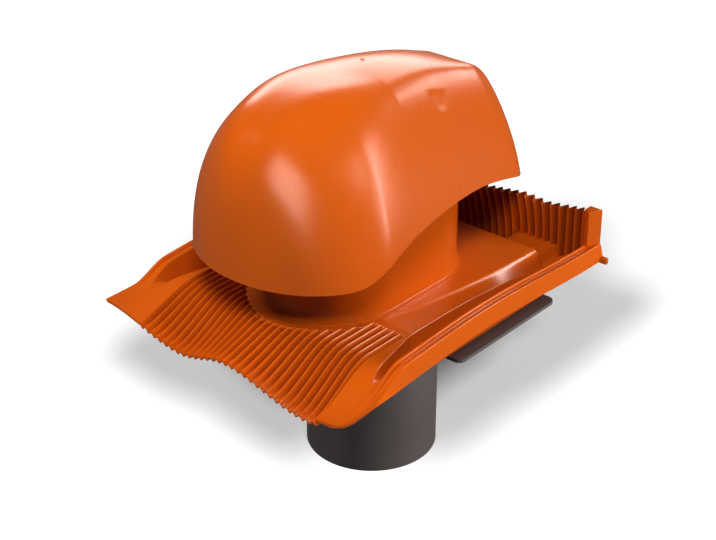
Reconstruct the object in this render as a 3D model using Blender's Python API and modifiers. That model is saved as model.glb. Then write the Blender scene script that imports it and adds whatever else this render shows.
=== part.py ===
"""Ventilator for a tiled roof: a moulded hood over an oval neck on a pleated flashing plate.

A round duct pipe hangs under the plate in a black frame. Metres, +Z up along the pipe. The eaves side
of the plate faces -Y and its ridge side +Y. The origin is on the floor, under the middle of the plate.
Heights of the named sizes are counted from the plate's front corners, and distances along Y from the
pipe's axis.
"""
import math

import bmesh
import bpy
from mathutils import Vector

# Clearance between pieces that touch
GAP = 0.0003

# Duct pipe
PIPE_DIAMETER = 0.150
PIPE_WALL = 0.003
PIPE_FOOT = -0.2155
PIPE_TOP = 0.128
BEAD_REACH = 0.005
BEAD_HEIGHT = 0.006
BEAD_LAND = 0.004
BEAD_FOOT = -0.008

# Flashing plate
PLATE_HALF_WIDTH = 0.178
PLATE_FRONT = -0.2325
PLATE_BACK = 0.1925
SHEET = 0.003
DECK_HEIGHT = 0.010
DECK_SIDE = 0.128
DECK_BACK = 0.147
CHANNEL_FLOOR = -0.012
CHANNEL_FALL = 0.001
CHANNEL_WALL_SLOPE = 0.004
CHANNEL_FROM = -0.195
CHANNEL_FULL_AT = -0.120
CHANNEL_TIP_WIDTH = 0.005
CHANNEL_WIDE_AT = -0.091
WALL_HEIGHT = 0.018
WALL_ARCH = 0.009
WALL_LEAN = 0.005
WALL_LAND = 0.003
WALL_FULL_AT = -0.145
GROOVE_DEPTH = 0.004
GROOVE_SLOPE = 0.002
RIDGE_INSET = 0.015
RIDGE_LAND = 0.004
RIDGE_SLOPE = 0.003
RIDGE_EDGE = 0.0005
DECK_FULL_AT = -0.150

# Side edge of the deck: (y, height), falling towards the ridge side
DECK_EDGE_LINE = ((-0.031, 0.0095), (0.013, 0.0075), (0.057, 0.003), (0.116, -0.005), (0.147, -0.010))

# Shallow step on the deck: (y, x), running outwards from the neck's foot
DECK_STEP_LINE = ((-0.085, 0.086), (-0.031, 0.097), (0.021, 0.106), (0.072, 0.112), (0.147, 0.116))
DECK_STEP_DEPTH = 0.0025
DECK_STEP_WIDTH = 0.004
DECK_STEP_FROM = -0.085
DECK_STEP_FULL_AT = -0.020

# Gutter across the back, between the deck and the upstand, deep in the middle with a shelf on each side
GUTTER_FLOOR = -0.022
GUTTER_HALF_WIDTH = 0.060
GUTTER_SHELF = 0.0
GUTTER_WALL_SLOPE = 0.0015
GUTTER_END_SLOPE = 0.005

# Front edge of the plate across the slope: (x, height), a double roll like the tiles below it
TILE_ROLLS = ((-0.178, 0.0), (-0.065, -0.021), (0.0, -0.007), (0.112, -0.028), (0.130, -0.0265), (0.178, 0.0))

# Pleated apron between the front edge and the neck, a little narrower than the deck
APRON_SIDE_INSET = 0.0005
APRON_HALF_WIDTH = DECK_SIDE - APRON_SIDE_INSET
APRON_BACK = -0.085
APRON_LIP = 0.0005
APRON_SINK = 0.00045
APRON_SHEET = 0.0021
APRON_PLEATS = 29
PLEAT_HEIGHT = 0.0055
PLEAT_FADE = 0.018
SEAM_LAP = 0.003

# Pleated upstand at the back edge
UPSTAND_PLEATS = 31
UPSTAND_DEPTH = 0.009
UPSTAND_LEAN = 0.012
UPSTAND_LEAN_REACH = 0.130
UPSTAND_SINK = 0.0015
TAB_WIDTH = 0.022
TAB_FOOT = 0.003
TAB_TOP = 0.060
TAB_LAP = 0.002
TAB_FOLD = 0.004
TAB_FOLD_INSET = 0.014
TAB_SIDE_INSET = 0.006
TAB_BACK_INSET = 0.001

# Upper edge of the upstand: (distance from the middle, height)
UPSTAND_TOP_LINE = ((0.0, 0.038), (0.045, 0.045), (0.077, 0.050), (0.105, 0.048), (0.146, 0.055),
                    (0.178, 0.057))

# Oval neck, two half rounds joined by straight sides
NECK_HALF_WIDTH = 0.080
NECK_FRONT_CENTRE = -0.060
NECK_BACK_CENTRE = 0.021
NECK_TOP = 0.150
NECK_WALL = 0.0025
NECK_FOOT_REACH = 0.005
NECK_FOOT_FRONT_REACH = 0.007
NECK_FOOT_HEIGHT = 0.018
NECK_FOOT_RISE = 0.001
NECK_FOOT_SINK = 0.005
DECK_OPENING_REACH = 0.004
APRON_OPENING_REACH = 0.0045

# Weather hood
HOOD_WALL = 0.003
HOOD_BASE = 0.081
HOOD_CROWN = 0.256
HOOD_CROWN_AT = -0.043
HOOD_CROWN_FALL = 1.4
HOOD_FRONT = -0.2165
HOOD_BACK = 0.167
HOOD_WIDEST_AT = -0.110
HOOD_HALF_WIDTH = 0.1205
HOOD_BACK_HALF_WIDTH = 0.0905
HOOD_BACK_ROUND = 0.028
HOOD_FRONT_POWER = 2.07
HOOD_TOP_POWER = 3.88
SIDE_BELLY = 0.4
SHOULDER_AT = -0.035
SHOULDER_HALF_WIDTH = 0.0585
SHOULDER_BACK_HALF_WIDTH = 0.0326
SHOULDER_HEIGHT = 0.2437
SHOULDER_BACK_HEIGHT = 0.2095
SHOULDER_POWER = 10.8
FRONT_SHOULDER_SHARE = 0.54
FRONT_SHOULDER_POWER = 3.6
SHOULDER_FADE = 0.118

# Arched lower rim of the hood, seen from the side: (y, height)
RIM_LINE = ((-0.164, 0.081), (-0.141, 0.084), (-0.116, 0.094), (-0.090, 0.1025), (-0.058, 0.109),
            (0.001, 0.113), (0.062, 0.1105), (0.104, 0.103), (0.140, 0.094), (0.172, 0.086))

# Fins that stand the hood on the neck
FIN_THICKNESS = 0.004
FIN_HOOK_WIDTH = 0.008
FIN_HOOK_DEPTH = 0.014

# Finger recess on each side, under the crisp edge
RECESS_LENGTH = 0.020
RECESS_WIDTH = 0.016
RECESS_DEPTH = 0.003
RECESS_AT = Vector((0.0625, 0.033, 0.2155))

# Black frame under the plate
FRAME_THICKNESS = 0.004
RAIL_OUTER = 0.174
RAIL_INNER = 0.138
RAIL_FRONT = -0.065
RAIL_BACK = 0.105
RAIL_CORNER = 0.008
SOCKET_WALL = 0.008
SOCKET_FOOT = -0.040
BRIDGE_WIDTH = 0.024
BRIDGE_AT = 0.045
BRIDGE_STEP = 0.0002

# How far cutting tools reach past the piece
CUT_REACH = 0.100

# Facets
PIPE_SEGMENTS = 48
NECK_SEGMENTS = 17
SECTION_STEPS = 12
FRONT_STATIONS = 11
BODY_STATIONS = 9
ROUND_STATIONS = 4


def smooth_step(t):
    t = min(1.0, max(0.0, t))
    return t * t * (3.0 - 2.0 * t)


def superellipse(share, power):
    """Height of a rounded outline of half width 1 and height 1 at the given share of its half width."""
    return max(0.0, 1.0 - min(1.0, share) ** power) ** (1.0 / power)


def through_points(points, x):
    """Smooth curve through points sorted by x, level at each of them."""
    if x <= points[0][0]:
        return points[0][1]
    for (x0, z0), (x1, z1) in zip(points, points[1:]):
        if x <= x1:
            return z0 + (z1 - z0) * smooth_step((x - x0) / (x1 - x0))
    return points[-1][1]


def straight_through(points, x):
    """Straight lines through points sorted by x."""
    if x <= points[0][0]:
        return points[0][1]
    for (x0, z0), (x1, z1) in zip(points, points[1:]):
        if x <= x1:
            return z0 + (z1 - z0) * (x - x0) / (x1 - x0)
    return points[-1][1]


def curve_through(points, x):
    """Smooth curve through points sorted by x, with the slope of its neighbours at each of them."""
    if x <= points[0][0]:
        return points[0][1]
    for i in range(len(points) - 1):
        (x0, z0), (x1, z1) = points[i], points[i + 1]
        if x <= x1:
            slope_in = 0.0 if i == 0 else (z1 - points[i - 1][1]) / (x1 - points[i - 1][0])
            far = points[min(i + 2, len(points) - 1)]
            slope_out = (far[1] - z0) / (far[0] - x0)
            width = x1 - x0
            t = (x - x0) / width
            bend = (1.0 - t) * slope_in * width * t * (1.0 - t) - t * slope_out * width * t * (1.0 - t)
            return z0 + (z1 - z0) * smooth_step(t) + bend
    return points[-1][1]


def steps(start, end, count):
    return [start + (end - start) * i / count for i in range(count + 1)]


def remove_scene_objects():
    for obj in list(bpy.data.objects):
        bpy.data.objects.remove(obj, do_unlink=True)


def plastic(name, colour, roughness):
    mat = bpy.data.materials.new(name)
    mat.use_nodes = True
    shader = mat.node_tree.nodes["Principled BSDF"]
    shader.inputs["Base Color"].default_value = (*colour, 1.0)
    shader.inputs["Roughness"].default_value = roughness
    shader.inputs["Metallic"].default_value = 0.0
    return mat


def add_mesh_object(name, bm, collection, parent, material=None):
    """A mesh object of flat faces that point out, shaded smooth across its soft edges."""
    bm.normal_update()
    bmesh.ops.triangulate(bm, faces=bm.faces)
    bmesh.ops.recalc_face_normals(bm, faces=bm.faces)
    mesh = bpy.data.meshes.new(name)
    bm.to_mesh(mesh)
    bm.free()
    mesh.shade_smooth()
    mesh.set_sharp_from_angle(angle=math.radians(35))
    obj = bpy.data.objects.new(name, mesh)
    obj.parent = parent
    collection.objects.link(obj)
    if material:
        mesh.materials.append(material)
    else:
        obj.hide_render = True
        obj.display_type = "WIRE"
    return obj


def boolean(target, tool, operation):
    mod = target.modifiers.new(tool.name, "BOOLEAN")
    mod.operation = operation
    mod.object = tool
    mod.solver = "EXACT"
    return mod


def box_mesh(low, high):
    bm = bmesh.new()
    bmesh.ops.create_cube(bm, size=1.0)
    size = [b - a for a, b in zip(low, high)]
    middle = [(a + b) / 2 for a, b in zip(low, high)]
    bmesh.ops.scale(bm, vec=size, verts=bm.verts)
    bmesh.ops.translate(bm, vec=middle, verts=bm.verts)
    return bm


def prism_mesh(outline, offset):
    """A flat outline of 3-D points, extruded by the offset."""
    bm = bmesh.new()
    face = bm.faces.new([bm.verts.new(p) for p in outline])
    moved = bmesh.ops.extrude_face_region(bm, geom=[face])
    verts = [item for item in moved["geom"] if isinstance(item, bmesh.types.BMVert)]
    bmesh.ops.translate(bm, vec=offset, verts=verts)
    return bm


def sheet_mesh(rows, thickness, direction):
    """A sheet with the given rows of points on its face, thickened along the direction."""
    bm = bmesh.new()
    shift = Vector(direction) * thickness
    face_side = [[bm.verts.new(p) for p in row] for row in rows]
    back_side = [[bm.verts.new(Vector(p) + shift) for p in row] for row in rows]
    for side in (face_side, back_side):
        for near, far in zip(side, side[1:]):
            for i in range(len(near) - 1):
                bm.faces.new((near[i], near[i + 1], far[i + 1], far[i]))
    rim = list(face_side[0])
    rim += [row[-1] for row in face_side[1:]]
    rim += list(reversed(face_side[-1][:-1]))
    rim += [row[0] for row in reversed(face_side[1:-1])]
    back_rim = list(back_side[0])
    back_rim += [row[-1] for row in back_side[1:]]
    back_rim += list(reversed(back_side[-1][:-1]))
    back_rim += [row[0] for row in reversed(back_side[1:-1])]
    for i in range(len(rim)):
        j = (i + 1) % len(rim)
        bm.faces.new((rim[i], rim[j], back_rim[j], back_rim[i]))
    return bm


def ring_loft_mesh(rings):
    """A closed band through a loop of rings, the last ring joining the first."""
    bm = bmesh.new()
    loops = [[bm.verts.new(p) for p in ring] for ring in rings]
    for loop, following in zip(loops, loops[1:] + loops[:1]):
        for i in range(len(loop)):
            j = (i + 1) % len(loop)
            bm.faces.new((loop[i], loop[j], following[j], following[i]))
    return bm


def oval(offset, height, front=0.0):
    """The neck's outline, moved outwards by the offset and further at its front end, at a height."""
    radius = NECK_HALF_WIDTH + offset
    points = []
    for i in range(NECK_SEGMENTS + 1):
        angle = math.pi * i / NECK_SEGMENTS
        points.append((radius * math.cos(angle), NECK_BACK_CENTRE + radius * math.sin(angle), height))
    for i in range(NECK_SEGMENTS + 1):
        angle = math.pi * (1.0 + i / NECK_SEGMENTS)
        reach = radius + front * math.sin(angle) ** 2
        points.append((reach * math.cos(angle), NECK_FRONT_CENTRE + reach * math.sin(angle), height))
    return points


def side_arch(y):
    """Rise of the plate's side edges, highest half way along."""
    share = (y - PLATE_FRONT) / (PLATE_BACK - PLATE_FRONT)
    return WALL_ARCH * math.sin(math.pi * share) ** 2


def front_blend(y):
    """0 on the plate's front edge, 1 where the deck has its full form."""
    return smooth_step((y - PLATE_FRONT) / (DECK_FULL_AT - PLATE_FRONT))


def plate_section(y):
    """Upper and under side of the plate across the slope at y, right half, from the outer foot inwards."""
    arch = side_arch(y)
    top = arch + WALL_HEIGHT * smooth_step((y - PLATE_FRONT) / (WALL_FULL_AT - PLATE_FRONT))
    groove = top - GROOVE_DEPTH
    half = PLATE_HALF_WIDTH
    edge = half - WALL_LEAN
    ridge = half - RIDGE_INSET
    ridge_foot = ridge - RIDGE_LAND - RIDGE_SLOPE

    # The channel starts as a narrow fold near the front corner and widens until the deck has its width
    side = straight_through(((CHANNEL_FROM, ridge_foot - CHANNEL_TIP_WIDTH), (CHANNEL_WIDE_AT, DECK_SIDE)), y)
    side_height = straight_through(DECK_EDGE_LINE, y)
    depth = smooth_step((y - CHANNEL_FROM) / (CHANNEL_FULL_AT - CHANNEL_FROM))
    channel = side_height + (CHANNEL_FLOOR - side_height) * depth

    step = straight_through(DECK_STEP_LINE, y)
    low_step = DECK_HEIGHT
    low_step -= DECK_STEP_DEPTH * smooth_step((y - DECK_STEP_FROM) / (DECK_STEP_FULL_AT - DECK_STEP_FROM))
    floor = shelf = DECK_HEIGHT
    if y > DECK_BACK - GUTTER_WALL_SLOPE / 2:
        floor, shelf = GUTTER_FLOOR, GUTTER_SHELF
        side_height = low_step = channel
    inner = GUTTER_HALF_WIDTH
    outer = GUTTER_HALF_WIDTH + GUTTER_END_SLOPE
    upper = ((half, arch), (edge, top), (edge - WALL_LAND, top), (edge - WALL_LAND - GROOVE_SLOPE, groove),
             (ridge + RIDGE_EDGE, groove), (ridge, top), (ridge - RIDGE_LAND, top),
             (ridge_foot, channel + CHANNEL_FALL), (side + CHANNEL_WALL_SLOPE, channel), (side, side_height),
             (step + DECK_STEP_WIDTH, low_step), (step, shelf), (outer, shelf), (inner, floor), (0.0, floor))
    under = ((half - SHEET, arch), (edge - SHEET, groove - SHEET), (ridge, groove - SHEET),
             (ridge_foot + SHEET, channel - SHEET), (side + SHEET, channel - SHEET),
             (side - SHEET, side_height - SHEET), (step + DECK_STEP_WIDTH - SHEET, low_step - SHEET),
             (step - SHEET, shelf - SHEET), (outer + SHEET, shelf - SHEET), (inner + SHEET, floor - SHEET),
             (0.0, floor - SHEET))
    return upper, under


def toward_front_edge(x, z, y, drop):
    """The section's height z, blended into the front edge's line."""
    blend = front_blend(y)
    return (1.0 - blend) * (through_points(TILE_ROLLS, x) - drop) + blend * z


def plate_height(x, y):
    """Height of the plate's upper face, without pleats."""
    upper, under = plate_section(y)
    return toward_front_edge(x, straight_through(sorted(upper), abs(x)), y, 0.0)


def full_section_ring(y, lag=0.0):
    """Closed section of the whole plate at y. The under side may lie in front of it by the lag."""
    ring = []
    for points, drop, shift in zip(plate_section(y), (0.0, SHEET), (0.0, lag)):
        run = [(-x, z) for x, z in points[:-1]] + [(x, z) for x, z in reversed(points[:-1])]
        run = [(x, y - shift, toward_front_edge(x, z, y, drop)) for x, z in run]
        ring += run if drop == 0.0 else list(reversed(run))
    return ring


def sweep_mesh(rings):
    """A solid through rings of equal count, closed by its end faces."""
    bm = bmesh.new()
    loops = [[bm.verts.new(p) for p in ring] for ring in rings]
    for loop, following in zip(loops, loops[1:]):
        for i in range(len(loop)):
            j = (i + 1) % len(loop)
            bm.faces.new((loop[i], loop[j], following[j], following[i]))
    bm.faces.new(loops[0])
    bm.faces.new(loops[-1])
    return bm


def make_flashing_plate(collection, tools, parent, material):
    # Whole plate from side wall to side wall, then the field where the apron goes is cut out
    rings = [full_section_ring(y) for y in steps(PLATE_FRONT, APRON_BACK, 7)]
    rings += [full_section_ring(y) for y in steps(APRON_BACK, DECK_BACK - GUTTER_WALL_SLOPE, 5)[1:-1]]
    rings += [full_section_ring(y, SHEET) for y in (DECK_BACK - GUTTER_WALL_SLOPE, DECK_BACK)]
    rings.append(full_section_ring(PLATE_BACK - SHEET / 2))
    bm = sweep_mesh(rings)
    plate = add_mesh_object("flashing_plate", bm, collection, parent, material)
    boolean(plate, make_upstand(tools, parent), "UNION")
    for name, sign in (("right_tab", 1), ("left_tab", -1)):
        boolean(plate, make_tab(name, sign, tools, parent), "UNION")
    edge = APRON_HALF_WIDTH - SEAM_LAP
    bm = box_mesh((-edge, PLATE_FRONT - CUT_REACH, -CUT_REACH), (edge, APRON_BACK - SEAM_LAP, CUT_REACH))
    boolean(plate, add_mesh_object("apron_field", bm, tools, parent), "DIFFERENCE")

    # Openings under the neck's foot, in the deck and a little wider in the apron
    boolean(plate, make_opening("deck_opening", DECK_OPENING_REACH, tools, parent), "DIFFERENCE")
    apron = make_apron(tools, parent)
    boolean(apron, make_opening("apron_opening", APRON_OPENING_REACH, tools, parent), "DIFFERENCE")
    boolean(plate, apron, "UNION")
    boolean(plate, make_neck(tools, parent), "UNION")


def make_apron(tools, parent):
    """Zigzag sheet in front of and beside the neck. Its borders are plain and lie inside the plate's sheet."""
    columns = steps(-APRON_HALF_WIDTH, APRON_HALF_WIDTH, 2 * APRON_PLEATS)
    stations = [PLATE_FRONT - APRON_LIP] + steps(PLATE_FRONT, DECK_FULL_AT, 4)[1:]
    stations += [APRON_BACK - PLEAT_FADE, APRON_BACK]
    rows = []
    for y in stations:
        height = PLEAT_HEIGHT * min(1.0, (APRON_BACK - y) / PLEAT_FADE)
        row = []
        for i, x in enumerate(columns):
            pleat = 0.0 if i in (0, 2 * APRON_PLEATS) else height * (0.5 if i % 2 else -0.5)
            row.append((x, y, plate_height(x, y) + pleat - APRON_SINK))
        rows.append(row)
    return add_mesh_object("apron", sheet_mesh(rows, APRON_SHEET, (0, 0, -1)), tools, parent)


def make_opening(name, offset, tools, parent):
    outline = [Vector(p) for p in oval(offset, -CUT_REACH)]
    return add_mesh_object(name, prism_mesh(outline, (0, 0, 2 * CUT_REACH)), tools, parent)


def make_neck(tools, parent):
    """Oval collar with a coved foot."""
    cove = []
    for i in range(5):
        angle = math.radians(90) * i / 4
        flare = 1.0 - math.sin(angle)
        rise = DECK_HEIGHT + NECK_FOOT_RISE + NECK_FOOT_HEIGHT * (1.0 - math.cos(angle))
        cove.append(oval(NECK_FOOT_REACH * flare, rise, NECK_FOOT_FRONT_REACH * flare))
    foot = DECK_HEIGHT - NECK_FOOT_SINK
    rings = [oval(NECK_FOOT_REACH, foot, NECK_FOOT_FRONT_REACH)] + cove
    rings += [oval(0.0, NECK_TOP), oval(-NECK_WALL, NECK_TOP), oval(-NECK_WALL, foot)]
    return add_mesh_object("neck", ring_loft_mesh(rings), tools, parent)


def upstand_foot(x, reach):
    """Lowest height of the plate within reach of x at the foot of the upstand, sunk into its sheet."""
    foot = PLATE_BACK - UPSTAND_DEPTH / 2
    return min(plate_height(x + shift, foot) for shift in (-reach, 0.0, reach)) - UPSTAND_SINK


def make_upstand(tools, parent):
    """Zigzag wall along the back edge. Its pleats lean over towards -X as they rise."""
    half = PLATE_HALF_WIDTH - TAB_WIDTH + TAB_LAP
    columns = steps(-half, half, 2 * UPSTAND_PLEATS)
    reach = half / (2 * UPSTAND_PLEATS)
    middle = PLATE_BACK - UPSTAND_DEPTH / 2
    rows = []
    for level in steps(0.0, 1.0, 3):
        row = []
        for i, x in enumerate(columns):
            depth = UPSTAND_DEPTH / 2 - SHEET / 2
            y = middle + (depth if i % 2 else -depth)
            lean = UPSTAND_LEAN * level * level * max(0.0, 1.0 - (abs(x) / UPSTAND_LEAN_REACH) ** 2)
            foot = upstand_foot(x, reach)
            z = foot + (straight_through(UPSTAND_TOP_LINE, abs(x)) - foot) * level
            row.append((x - lean, y - SHEET / 2, z))
        rows.append(row)
    return add_mesh_object("upstand", sheet_mesh(rows, SHEET, (0, 1, 0)), tools, parent)


def make_tab(name, sign, tools, parent):
    """Plain end piece of the upstand, with a folded outer flank."""
    inner = PLATE_HALF_WIDTH - TAB_WIDTH
    outline = []
    front = PLATE_BACK - UPSTAND_DEPTH
    back = PLATE_BACK - TAB_BACK_INSET
    for x, y in ((inner, front), (PLATE_HALF_WIDTH - TAB_FOLD_INSET, front - TAB_FOLD),
                 (PLATE_HALF_WIDTH - TAB_SIDE_INSET, back), (inner, back)):
        outline.append((sign * x, y, TAB_FOOT))
    height = TAB_TOP - TAB_FOOT
    return add_mesh_object(name, prism_mesh(outline, (0, 0, height)), tools, parent)


def hood_section(y, inset, base):
    """Half section of the hood across the slope at y: (x, z) points from the crown down to the base."""
    front = HOOD_FRONT + inset
    back = HOOD_BACK - inset
    widest = HOOD_HALF_WIDTH - inset
    taper = (HOOD_HALF_WIDTH - HOOD_BACK_HALF_WIDTH) / (HOOD_BACK - HOOD_WIDEST_AT)
    side = widest - taper * max(0.0, y - HOOD_WIDEST_AT)
    plan = 1.0
    if y < HOOD_WIDEST_AT:
        plan = superellipse((HOOD_WIDEST_AT - y) / (HOOD_WIDEST_AT - front), HOOD_FRONT_POWER)
    crown = HOOD_CROWN - inset
    if y > HOOD_CROWN_AT:
        crown -= HOOD_CROWN_FALL * (y - HOOD_CROWN_AT) ** 2
    else:
        reach = (HOOD_CROWN_AT - y) / (HOOD_CROWN_AT - front)
        crown = base + (crown - base) * superellipse(reach, HOOD_TOP_POWER)

    # The crisp shoulder runs straight along the back part and fades out towards the front
    along = (y - SHOULDER_AT) / (HOOD_BACK - SHOULDER_AT)
    shoulder_x = SHOULDER_HALF_WIDTH - inset + (SHOULDER_BACK_HALF_WIDTH - SHOULDER_HALF_WIDTH) * along
    shoulder_z = SHOULDER_HEIGHT - inset + (SHOULDER_BACK_HEIGHT - SHOULDER_HEIGHT) * along
    fade = smooth_step((SHOULDER_AT - y) / SHOULDER_FADE)
    share = shoulder_x / side
    share += (FRONT_SHOULDER_SHARE - share) * fade
    shoulder_z = min(shoulder_z, crown) * (1.0 - fade) + crown * fade
    power = SHOULDER_POWER + (FRONT_SHOULDER_POWER - SHOULDER_POWER) * fade ** 0.35

    # Rounded meeting of the back wall with the sides and the top: the section shrinks without folding
    into_round = max(0.0, (y - (back - HOOD_BACK_ROUND)) / HOOD_BACK_ROUND)
    trim = HOOD_BACK_ROUND * (1.0 - math.sqrt(max(0.0, 1.0 - into_round ** 2)))

    foot = side * plan
    points = []
    for i in range(SECTION_STEPS + 1):
        angle = math.radians(90) * i / SECTION_STEPS
        c, s = math.cos(angle), math.sin(angle)
        radius = (abs(c) ** power + abs(s) ** power) ** (-1.0 / power)
        u, v = radius * s, radius * c
        if i == SECTION_STEPS:
            u, v = 1.0, 0.0
        x = u * foot * (1.0 + (share - 1.0) * v + SIDE_BELLY * v * (1.0 - v))
        z = base + v * (crown + (shoulder_z - crown) * u * u - base)
        points.append((x * (1.0 - trim / foot), base + (z - base) * (1.0 - trim / (crown - base))))
    return points


def hood_mesh(inset, base):
    """Closed solid in the hood's outer form, made smaller all round by the inset."""
    front = HOOD_FRONT + inset
    back = HOOD_BACK - inset
    stations = []
    for i in range(1, FRONT_STATIONS + 1):
        angle = math.radians(90) * (1.0 - i / FRONT_STATIONS)
        stations.append(HOOD_WIDEST_AT + (front - HOOD_WIDEST_AT) * math.sin(angle))
    stations += steps(HOOD_WIDEST_AT, back - HOOD_BACK_ROUND, BODY_STATIONS)[1:]
    for i in range(1, ROUND_STATIONS + 1):
        angle = math.radians(90) * i / ROUND_STATIONS
        stations.append(back - HOOD_BACK_ROUND * (1.0 - math.sin(angle)))

    bm = bmesh.new()
    tip = bm.verts.new((0.0, front, base))
    rows = []
    for y in stations:
        half = hood_section(y, inset, base)
        left = [(-x, y, z) for x, z in reversed(half[1:])]
        right = [(x, y, z) for x, z in half]
        rows.append([bm.verts.new(p) for p in left + right])
    for i in range(len(rows[0]) - 1):
        bm.faces.new((tip, rows[0][i], rows[0][i + 1]))
    for near, far in zip(rows, rows[1:]):
        for i in range(len(near) - 1):
            bm.faces.new((near[i], near[i + 1], far[i + 1], far[i]))
    bm.faces.new(rows[-1])
    bm.faces.new([tip] + [row[0] for row in rows] + [row[-1] for row in reversed(rows)])
    return bm


def make_hood(collection, tools, parent, material):
    hood = add_mesh_object("hood", hood_mesh(0.0, HOOD_BASE), collection, parent, material)
    hollow = add_mesh_object("hood_hollow", hood_mesh(HOOD_WALL, HOOD_BASE - 2 * HOOD_WALL), tools, parent)
    boolean(hood, hollow, "DIFFERENCE")

    middle = add_mesh_object("hood_middle", hood_mesh(HOOD_WALL / 2, HOOD_BASE - HOOD_WALL / 2), tools, parent)
    inner = (NECK_HALF_WIDTH - NECK_WALL) * math.cos(math.pi / (2 * NECK_SEGMENTS)) - GAP
    neck_middle = (NECK_FRONT_CENTRE + NECK_BACK_CENTRE) / 2
    half_length = (NECK_BACK_CENTRE - NECK_FRONT_CENTRE) / 2 + inner
    for i, (direction, reach) in enumerate((((1, 0), inner), ((-1, 0), inner), ((0, 1), half_length),
                                            ((0, -1), half_length))):
        fin = make_fin("fin_%d" % (i + 1), direction, reach, neck_middle, tools, parent)
        boolean(fin, middle, "INTERSECT")
        boolean(hood, fin, "UNION")

    side = HOOD_HALF_WIDTH + CUT_REACH
    foot = HOOD_BASE - CUT_REACH
    end = HOOD_BACK + HOOD_WALL
    start = RIM_LINE[0][0]
    outline = [(-side, y, curve_through(RIM_LINE, y)) for y in steps(start, end, 20)]
    outline += [(-side, end, foot), (-side, start, foot)]
    cutter = add_mesh_object("rim_cutter", prism_mesh(outline, (2 * side, 0, 0)), tools, parent)
    boolean(hood, cutter, "DIFFERENCE")

    for name, sign in (("right_recess", 1), ("left_recess", -1)):
        bm = bmesh.new()
        bmesh.ops.create_uvsphere(bm, u_segments=16, v_segments=8, radius=1.0)
        bmesh.ops.scale(bm, vec=(RECESS_DEPTH, RECESS_LENGTH / 2, RECESS_WIDTH / 2), verts=bm.verts)
        cutter = add_mesh_object(name, bm, tools, parent)
        cutter.location = (sign * RECESS_AT.x, RECESS_AT.y, RECESS_AT.z)
        cutter.rotation_euler.y = sign * math.radians(-35)
        boolean(hood, cutter, "DIFFERENCE")


def make_fin(name, direction, reach, middle, tools, parent):
    """Upright web that rests on the neck's top edge, with a hook inside the neck. Trimmed to the hood."""
    radial = Vector((direction[0], direction[1], 0.0))
    across = Vector((-direction[1], direction[0], 0.0)) * (FIN_THICKNESS / 2)
    centre = Vector((0.0, middle, 0.0))
    seat = NECK_TOP + GAP
    hook = reach - FIN_HOOK_WIDTH
    end = reach + CUT_REACH
    profile = ((hook, seat - FIN_HOOK_DEPTH), (reach, seat - FIN_HOOK_DEPTH), (reach, seat), (end, seat),
               (end, HOOD_CROWN), (hook, HOOD_CROWN))
    outline = [centre + radial * r + Vector((0, 0, z)) - across for r, z in profile]
    return add_mesh_object(name, prism_mesh(outline, across * 2), tools, parent)


def make_pipe(collection, parent, material):
    """Turned profile of the pipe's wall with the bead it hangs by."""
    outer = PIPE_DIAMETER / 2
    inner = outer - PIPE_WALL
    bead = outer + BEAD_REACH
    profile = ((inner, PIPE_TOP), (outer, PIPE_TOP), (outer, BEAD_FOOT + BEAD_HEIGHT),
               (bead, BEAD_FOOT + BEAD_LAND), (bead, BEAD_FOOT), (outer, BEAD_FOOT), (outer, PIPE_FOOT),
               (inner, PIPE_FOOT))
    mesh = bpy.data.meshes.new("vent_pipe")
    edges = [(i, (i + 1) % len(profile)) for i in range(len(profile))]
    mesh.from_pydata([(r, 0.0, z) for r, z in profile], edges, [])
    mesh.materials.append(material)
    pipe = bpy.data.objects.new("vent_pipe", mesh)
    pipe.parent = parent
    collection.objects.link(pipe)
    screw = pipe.modifiers.new("turn", "SCREW")
    screw.steps = PIPE_SEGMENTS
    screw.render_steps = PIPE_SEGMENTS
    screw.use_merge_vertices = True
    screw.merge_threshold = 0.0001
    screw.use_smooth_shade = False


def make_frame(collection, tools, parent, material):
    """Two rails, two bridges and the socket that carries the pipe by its bead."""
    top = CHANNEL_FLOOR - SHEET - GAP
    foot = top - FRAME_THICKNESS
    bore = PIPE_DIAMETER / 2 + GAP
    bm = bmesh.new()
    bmesh.ops.create_cone(bm, cap_ends=True, segments=PIPE_SEGMENTS, radius1=bore + SOCKET_WALL,
                          radius2=bore + SOCKET_WALL, depth=BEAD_FOOT - GAP - SOCKET_FOOT)
    bmesh.ops.translate(bm, vec=(0, 0, (BEAD_FOOT - GAP + SOCKET_FOOT) / 2), verts=bm.verts)
    frame = add_mesh_object("support_frame", bm, collection, parent, material)
    half = (RAIL_INNER + RAIL_OUTER) / 2
    for i, y in enumerate((-BRIDGE_AT, BRIDGE_AT)):
        low = (-half, y - BRIDGE_WIDTH / 2, foot + BRIDGE_STEP)
        high = (half, y + BRIDGE_WIDTH / 2, top - BRIDGE_STEP)
        boolean(frame, add_mesh_object("bridge_%d" % (i + 1), box_mesh(low, high), tools, parent), "UNION")
    for name, sign in (("right_rail", 1), ("left_rail", -1)):
        low_x, high_x = sorted((sign * RAIL_INNER, sign * RAIL_OUTER))
        bm = box_mesh((low_x, RAIL_FRONT, foot), (high_x, RAIL_BACK, top))
        upright = [e for e in bm.edges if abs(e.verts[0].co.z - e.verts[1].co.z) > FRAME_THICKNESS / 2]
        bmesh.ops.bevel(bm, geom=upright, offset=RAIL_CORNER, segments=3, profile=0.5, affect="EDGES")
        boolean(frame, add_mesh_object(name, bm, tools, parent), "UNION")
    bm = bmesh.new()
    bmesh.ops.create_cone(bm, cap_ends=True, segments=PIPE_SEGMENTS, radius1=bore, radius2=bore,
                          depth=2 * CUT_REACH)
    boolean(frame, add_mesh_object("socket_bore", bm, tools, parent), "DIFFERENCE")


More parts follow.
